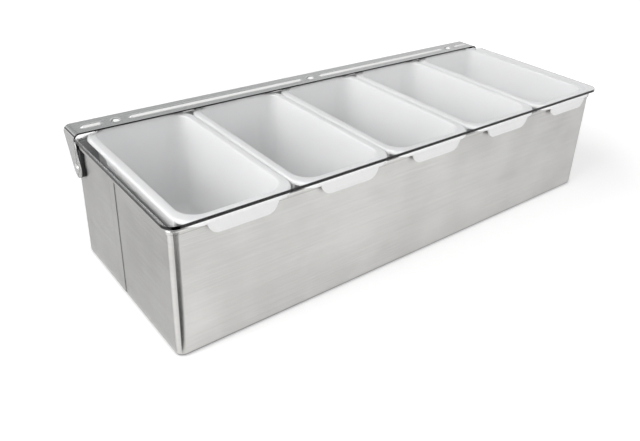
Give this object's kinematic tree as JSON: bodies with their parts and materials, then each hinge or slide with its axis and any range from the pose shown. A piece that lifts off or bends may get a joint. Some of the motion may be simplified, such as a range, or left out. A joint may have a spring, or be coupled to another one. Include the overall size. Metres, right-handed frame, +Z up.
{
  "type": "bar caddy",
  "caption": "Bar condiment caddy: long stainless steel tray with lift-out white plastic inserts under a clear sheet lid that swings up on a folded steel hinge rail.",
  "frame": {"origin": "on the table at the middle of the housing's flat base", "axes": "+X along the caddy's length towards the right as its user sees it, +Y towards the hinge at the back, +Z up"},
  "size_m": [0.4596, 0.1795, 0.1095],
  "materials": {
    "housing_steel": "bright rolled stainless sheet, softly reflective",
    "rail_steel": "satin stainless sheet",
    "rivet_steel": "polished stainless rivets",
    "insert_plastic": "white moulded plastic, semi gloss",
    "clear_plastic": "clear polished plastic sheet with darker cut edges",
    "spacer_nylon": "black moulded nylon"
  },
  "bodies": {
    "housing": {"wall_wrap": "housing_steel", "base_pan": "housing_steel", "insert_1": "insert_plastic", "insert_2": "insert_plastic", "insert_3": "insert_plastic", "insert_4": "insert_plastic", "insert_5": "insert_plastic", "pivot_rivets": "rivet_steel", "pivot_spacers": "spacer_nylon"},
    "lid": {"lid_panel": "clear_plastic", "hinge_rail": "rail_steel", "lid_rivets": "rivet_steel"}
  },
  "joints": [
    {"name": "lid_hinge", "type": "hinge", "parent": "housing", "child": "lid", "pos_m": [0, 0.072, 0.0795], "axis": [-1, 0, 0], "range_deg": [0, 125]}
  ]
}
